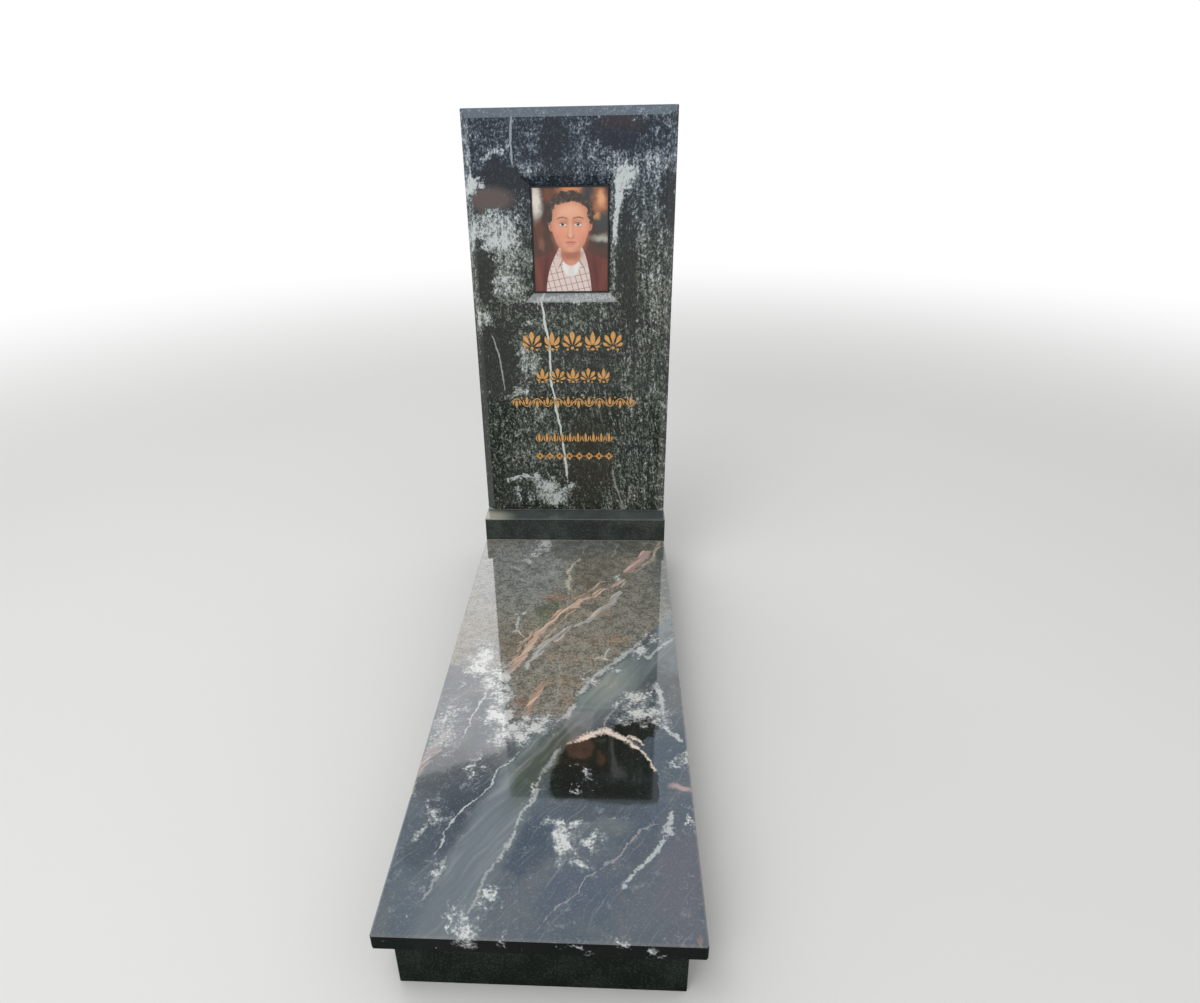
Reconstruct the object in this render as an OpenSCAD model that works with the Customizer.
// Granite grave monument: an upright stone on a low pedestal, with a cover slab in front.
// Slab and pedestal lie on a recessed plinth of stone strips set round a concrete bed.
// The front faces -Y. The origin is on the ground, at the middle of the whole footprint.

/* [Upright stone] */
// Width that the upright stone, the pedestal and the cover slab share
stone_w = 500; // [420:5:700]
// Height of the upright stone
stele_h = 1018; // [800:1:1400]
// Thickness of the upright stone
stele_t = 80; // [60:1:100]
// Bevel on the front's top and side edges, mitred where they meet
front_bevel = 20; // [8:1:30]
// Fine chamfer on the upright stone's other edges
stele_arris = 2; // [1:0.5:4]
// How far the upright stone stands back from the pedestal's front
stele_setback = 55; // [20:1:80]

/* [Portrait] */
// Width of the ceramic plate
plate_w = 180; // [120:1:200]
// Height of the ceramic plate
plate_h = 240; // [160:1:280]
// Thickness of the ceramic plate
plate_t = 4; // [3:0.5:7]
// Chamfer round the plate's face
plate_arris = 0.6; // [0.3:0.1:1]
// Distance from the upright stone's top down to the plate's middle
plate_drop = 290; // [220:1:500]
// Depth of the pocket's floor behind the stone's face
pocket_depth = 9; // [8:0.5:14]
// Width of the sloping face round the pocket, mitred at the corners
pocket_bevel = 22; // [10:1:30]
// Width of the sealant round the plate
seal_w = 4; // [2:0.5:6]
// Height of the sealant above the pocket's floor
seal_t = 2.5; // [1:0.5:3]

/* [Pedestal] */
// Height of the pedestal
pedestal_h = 95; // [70:1:160]
// Depth of the pedestal
pedestal_d = 200; // [190:1:260]
// Fine chamfer on the pedestal's edges
pedestal_arris = 2; // [1:0.5:4]

/* [Cover slab] */
// Length of the cover slab
slab_l = 1200; // [900:10:1500]
// Thickness of the cover slab
slab_t = 30; // [20:1:50]
// Chamfer on the slab's front and side edges
slab_arris = 3; // [1:0.5:5]

/* [Plinth] */
// Height of the stone strips above the ground
plinth_h = 112; // [60:1:200]
// Thickness of the stone strips
strip_t = 50; // [25:1:80]
// Fine chamfer on the strips' upright outer edges
strip_arris = 1.5; // [0.5:0.5:3]
// How far the strips stand in from the stones above them
plinth_inset = 24; // [10:1:40]

/* [Joints] */
// Height of the adhesive bed between the plinth and the stones that lie on it
bed_t = 3; // [2:0.5:6]
// How far that bed stays behind the plinth's face
bed_recess = 5; // [2:1:9]
// Height of the adhesive bed under the upright stone
stele_bed_t = 2; // [1:0.5:4]
// How far that bed stays inside the upright stone's chamfered foot
stele_bed_recess = 1; // [0.5:0.5:6]
// Width of the sealant joint between the cover slab and the pedestal
slab_joint_w = 3; // [2:0.5:6]
// How far that sealant stays below the slab's top and behind its sides
slab_joint_recess = 0.5; // [0.5:0.5:3]
// Width of the mortar joint between two strips at a corner of the plinth
corner_joint_w = 2; // [1:0.5:5]
// How far that mortar stays behind the strips' faces
corner_joint_recess = 3; // [1:0.5:5]

/* [Hidden] */

// How far the pocket's cutter starts in front of the stone
over = 1;

// Places along the monument, from the slab's front edge to the pedestal's back
front_y = -(slab_l + slab_joint_w + pedestal_d) / 2;
slab_back_y = front_y + slab_l;
pedestal_y = slab_back_y + slab_joint_w;
back_y = pedestal_y + pedestal_d;
stele_y = pedestal_y + stele_setback;
pocket_floor_y = stele_y + pocket_depth;
beds_meet_y = (slab_back_y + pedestal_y) / 2;

// Heights, from the ground up
stones_z = plinth_h + bed_t;
slab_top_z = stones_z + slab_t;
pedestal_top_z = stones_z + pedestal_h;
stele_z = pedestal_top_z + stele_bed_t;
stele_top_z = stele_z + stele_h;
plate_z = stele_top_z - plate_drop;

// Outline of the plinth, and of the concrete inside its strips
plinth_x = stone_w / 2 - plinth_inset;
plinth_y0 = front_y + plinth_inset;
plinth_y1 = back_y - plinth_inset;
core_x = plinth_x - strip_t;
core_y0 = plinth_y0 + strip_t;
core_y1 = plinth_y1 - strip_t;

// Half sizes of the pocket's floor, which the plate and its sealant fill
floor_x = plate_w / 2 + seal_w;
floor_z = plate_h / 2 + seal_w;

granite = [0.17, 0.19, 0.19];
granite_slab = [0.38, 0.41, 0.44];
granite_dark = [0.12, 0.13, 0.12];
adhesive = [0.58, 0.58, 0.55];
sealant = [0.08, 0.08, 0.08];
concrete = [0.62, 0.61, 0.58];
ceramic = [0.62, 0.36, 0.28];

// One corner of an outline, cut off by c along the two edges that leave it
function corner(p, edge_in, edge_out, c) =
    c > 0 ? [p + c * edge_in, p + c * edge_out] : [p];

// Rectangle from a to b, with its corners cut off by cuts, counter-clockwise from a
function cut_rectangle(a, b, cuts) = concat(
    corner(a, [0, 1], [1, 0], cuts[0]),
    corner([b[0], a[1]], [-1, 0], [0, 1], cuts[1]),
    corner(b, [0, -1], [-1, 0], cuts[2]),
    corner([a[0], b[1]], [1, 0], [0, -1], cuts[3])
);

// Outline given in y and z, drawn out to both sides of the middle plane
module across(half_w) {
    translate([-half_w, 0, 0])
        rotate([90, 0, 90])
            linear_extrude(2 * half_w)
                children();
}

// Stone with straight faces, from a to b. Its edges are chamfered by what its outlines
// from above, from the side and from the front cut off at their corners.
module stone(a, b, plan_cuts, side_cuts, front_cuts) {
    intersection() {
        translate([0, 0, a[2]])
            linear_extrude(b[2] - a[2])
                polygon(cut_rectangle([a[0], a[1]], [b[0], b[1]], plan_cuts));
        across(max(-a[0], b[0]))
            polygon(cut_rectangle([a[1], a[2]], [b[1], b[2]], side_cuts));
        translate([0, b[1], 0])
            rotate([90, 0, 0])
                linear_extrude(b[1] - a[1])
                    polygon(cut_rectangle([a[0], a[2]], [b[0], b[2]], front_cuts));
    }
}

// Rectangular body on the axis of the portrait, square to the front. Each station along
// its depth gives y and the half width and half height there, and straight sides join them.
module tapered_plate(stations) {
    half_w = max([for (s = stations) s[1]]);
    half_h = max([for (s = stations) s[2]]);
    last = len(stations) - 1;
    translate([0, 0, plate_z])
        intersection() {
            translate([0, 0, -half_h])
                linear_extrude(2 * half_h)
                    polygon(concat(
                        [for (s = stations) [s[1], s[0]]],
                        [for (i = [last:-1:0]) [-stations[i][1], stations[i][0]]]
                    ));
            across(half_w)
                polygon(concat(
                    [for (s = stations) [s[0], -s[2]]],
                    [for (i = [last:-1:0]) [stations[i][0], stations[i][2]]]
                ));
        }
}

// Plain layer or block between two corners
module layer(a, b) {
    translate(a)
        cube(b - a);
}

module concrete_bed() {
    color(concrete)
        layer([-core_x, core_y0, 0], [core_x, core_y1, plinth_h]);
}

// Strips across the front and the back, which cover the ends of the side strips
module plinth_front() {
    color(granite_dark)
        stone(
            [-plinth_x, plinth_y0, 0], [plinth_x, core_y0, plinth_h],
            [strip_arris, strip_arris, 0, 0], [0, 0, 0, 0], [0, 0, 0, 0]
        );
}

module plinth_back() {
    color(granite_dark)
        stone(
            [-plinth_x, core_y1, 0], [plinth_x, plinth_y1, plinth_h],
            [0, 0, strip_arris, strip_arris], [0, 0, 0, 0], [0, 0, 0, 0]
        );
}

// Strip along one side, from x0 to x1
module side_strip(x0, x1) {
    color(granite_dark)
        layer(
            [x0, core_y0 + corner_joint_w, 0],
            [x1, core_y1 - corner_joint_w, plinth_h]
        );
}

module plinth_left() {
    side_strip(-plinth_x, -core_x);
}

module plinth_right() {
    side_strip(core_x, plinth_x);
}

// Mortar between a side strip's end and the strip across it. side is -1 on the left
// and 1 on the right, and y0 is the joint's front.
module corner_joint(side, y0) {
    outer = plinth_x - corner_joint_recess;
    color(adhesive)
        layer(
            [min(side * core_x, side * outer), y0, 0],
            [max(side * core_x, side * outer), y0 + corner_joint_w, plinth_h]
        );
}

module corner_joint_front_left() {
    corner_joint(-1, core_y0);
}

module corner_joint_front_right() {
    corner_joint(1, core_y0);
}

module corner_joint_back_left() {
    corner_joint(-1, core_y1 - corner_joint_w);
}

module corner_joint_back_right() {
    corner_joint(1, core_y1 - corner_joint_w);
}

// The beds lie on strips and concrete alike, and meet under the joint above them
module slab_bed() {
    bed_x = plinth_x - bed_recess;
    color(adhesive)
        layer([-bed_x, plinth_y0 + bed_recess, plinth_h], [bed_x, beds_meet_y, stones_z]);
}

module pedestal_bed() {
    bed_x = plinth_x - bed_recess;
    color(adhesive)
        layer([-bed_x, beds_meet_y, plinth_h], [bed_x, plinth_y1 - bed_recess, stones_z]);
}

module cover_slab() {
    color(granite_slab)
        stone(
            [-stone_w / 2, front_y, stones_z], [stone_w / 2, slab_back_y, slab_top_z],
            [slab_arris, slab_arris, 0, 0],
            [0, 0, 0, slab_arris],
            [0, 0, slab_arris, slab_arris]
        );
}

module slab_joint() {
    joint_x = stone_w / 2 - slab_arris - slab_joint_recess;
    color(adhesive)
        layer(
            [-joint_x, slab_back_y, stones_z],
            [joint_x, pedestal_y, slab_top_z - slab_joint_recess]
        );
}

module pedestal() {
    c = pedestal_arris;
    color(granite)
        stone(
            [-stone_w / 2, pedestal_y, stones_z], [stone_w / 2, back_y, pedestal_top_z],
            [c, c, c, c], [0, 0, c, c], [0, 0, c, c]
        );
}

module stele_bed() {
    inset = stele_arris + stele_bed_recess;
    bed_x = stone_w / 2 - inset;
    color(adhesive)
        layer(
            [-bed_x, stele_y + inset, pedestal_top_z],
            [bed_x, stele_y + stele_t - inset, stele_z]
        );
}

module stele() {
    c = stele_arris;
    color(granite)
        difference() {
            stone(
                [-stone_w / 2, stele_y, stele_z],
                [stone_w / 2, stele_y + stele_t, stele_top_z],
                [front_bevel, front_bevel, c, c],
                [c, c, c, front_bevel],
                [0, 0, c, c]
            );
            portrait_pocket();
        }
}

// Cutter for the pocket: a flat floor, and four sloping faces that run out past the front
module portrait_pocket() {
    flare = pocket_bevel * (1 + over / pocket_depth);
    tapered_plate([
        [stele_y - over, floor_x + flare, floor_z + flare],
        [pocket_floor_y, floor_x, floor_z],
    ]);
}

// Sealant between the plate's edge and the foot of the pocket's sloping faces
module portrait_seal() {
    seal_y = pocket_floor_y - seal_t;
    color(sealant)
        difference() {
            layer(
                [-floor_x, seal_y, plate_z - floor_z],
                [floor_x, pocket_floor_y, plate_z + floor_z]
            );
            layer(
                [-plate_w / 2, seal_y - over, plate_z - plate_h / 2],
                [plate_w / 2, pocket_floor_y + over, plate_z + plate_h / 2]
            );
        }
}

module portrait_plate() {
    plate_y = pocket_floor_y - plate_t;
    color(ceramic)
        tapered_plate([
            [plate_y, plate_w / 2 - plate_arris, plate_h / 2 - plate_arris],
            [plate_y + plate_arris, plate_w / 2, plate_h / 2],
            [pocket_floor_y, plate_w / 2, plate_h / 2],
        ]);
}

concrete_bed();
plinth_front();
plinth_back();
plinth_left();
plinth_right();
corner_joint_front_left();
corner_joint_front_right();
corner_joint_back_left();
corner_joint_back_right();
slab_bed();
cover_slab();
slab_joint();
pedestal_bed();
pedestal();
stele_bed();
stele();
portrait_seal();
portrait_plate();
